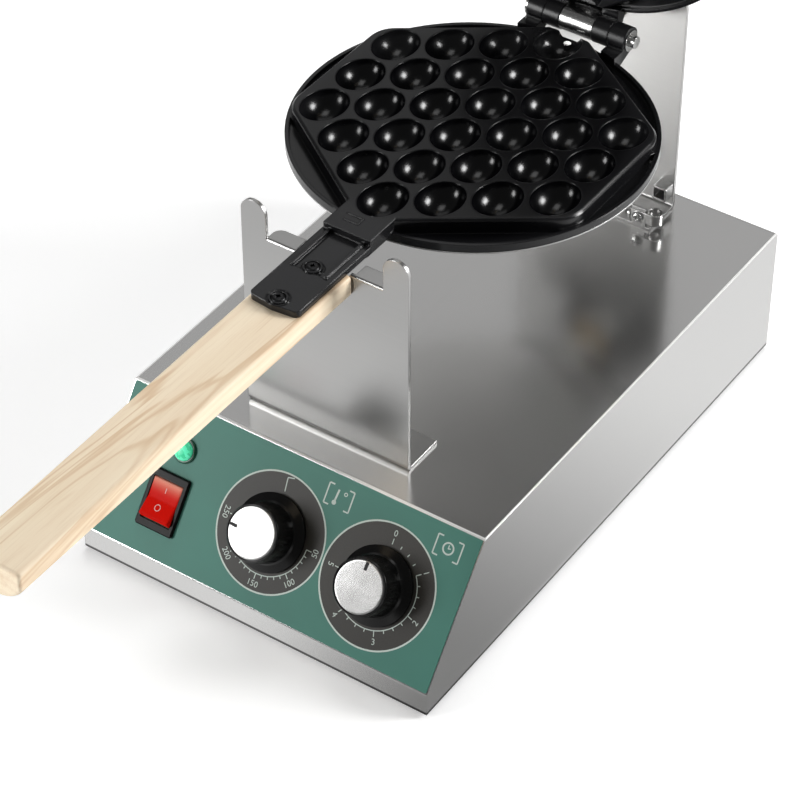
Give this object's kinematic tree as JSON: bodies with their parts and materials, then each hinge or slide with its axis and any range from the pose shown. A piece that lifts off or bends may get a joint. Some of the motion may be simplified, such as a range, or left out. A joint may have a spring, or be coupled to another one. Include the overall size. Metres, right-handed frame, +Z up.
{
  "type": "egg waffle iron",
  "caption": "Electric egg waffle iron: hinged cast moulds with egg-shaped cells and wooden handles, turning on brackets over a sloping-front stainless base cabinet.",
  "frame": {"origin": "on the worktop, under the middle of the base cabinet's outline", "axes": "+Z up; +Y from the control panel towards the rear bracket, so the operator stands on the -Y side; +X to the operator's right"},
  "size_m": [0.22, 0.5649, 0.6969],
  "materials": {
    "stainless": "brushed",
    "bright_steel": "bright zinc plate",
    "coated_casting": "satin non-stick coating",
    "panel_print": "printed film",
    "black_plastic": "moulded",
    "red_lens": "translucent",
    "green_lens": "translucent",
    "green_plastic": "moulded",
    "cap_metal": "spun",
    "rubber": "matt",
    "pine": "sanded, unvarnished",
    "bronze": "turned",
    "blackened_steel": "black oxide",
    "heater_sheath": "heat-stained",
    "block_plastic": "moulded"
  },
  "bodies": {
    "base": {"base_casing": "stainless", "bottom_plate": "stainless", "rubber_feet": "rubber", "bottom_screws": "bright_steel", "cord_gland": "black_plastic", "gland_locknut": "black_plastic", "lead_grommet": "rubber", "terminal_block": "block_plastic", "panel_overlay": "panel_print", "thermostat_body": "black_plastic", "timer_body": "black_plastic", "control_nuts": "bright_steel", "switch_housing": "black_plastic", "lamp_body": "green_plastic", "lamp_lens": "green_lens", "front_bracket": "stainless", "rear_bracket": "stainless", "bracket_screws": "bright_steel", "bracket_nuts": "bright_steel", "lead_guide": "stainless", "lead_clip": "stainless", "clip_screw": "bright_steel", "bearing_bush": "bronze", "bush_locknut": "bright_steel"},
    "pan": {"lower_mould_plate": "coated_casting", "lower_heater": "heater_sheath", "lower_cover": "stainless", "lower_cover_screws": "bright_steel", "lower_handle": "pine", "lower_handle_screws": "blackened_steel", "pivot_block": "bright_steel", "hinge_pin": "bright_steel", "pin_clip": "bright_steel", "shaft_collar": "bright_steel", "collar_set_screw": "bright_steel"},
    "lid": {"upper_mould_plate": "coated_casting", "upper_heater": "heater_sheath", "upper_cover": "stainless", "upper_cover_screws": "bright_steel", "upper_handle": "pine", "upper_handle_screws": "blackened_steel"},
    "thermostat_control": {"thermostat_knob": "black_plastic", "thermostat_cap": "cap_metal", "thermostat_shaft": "bright_steel"},
    "timer_control": {"timer_knob": "black_plastic", "timer_cap": "cap_metal", "timer_shaft": "bright_steel"},
    "rocker": {"power_rocker": "red_lens"}
  },
  "joints": [
    {"name": "pan_flip", "type": "hinge", "parent": "base", "child": "pan", "pos_m": [0, 0, 0.205], "axis": [0, 1, 0], "range_deg": [-90, 90]},
    {"name": "lid_hinge", "type": "hinge", "parent": "pan", "child": "lid", "pos_m": [0, 0.13606, 0.205], "axis": [1, 0, 0], "range_deg": [0, 95]},
    {"name": "thermostat_turn", "type": "hinge", "parent": "base", "child": "thermostat_control", "pos_m": [-0.0037, -0.15057, 0.04888], "axis": [0, -0.796, 0.6052], "range_deg": [0, 270]},
    {"name": "timer_turn", "type": "hinge", "parent": "base", "child": "timer_control", "pos_m": [0.0633, -0.15117, 0.04808], "axis": [0, 0.796, -0.6052], "range_deg": [0, 270], "stiffness_Nm_per_rad": 0.004},
    {"name": "power_rocker_tilt", "type": "hinge", "parent": "base", "child": "rocker", "pos_m": [-0.0688, -0.15588, 0.04023], "axis": [1, 0, 0], "range_deg": [0, 20]}
  ]
}
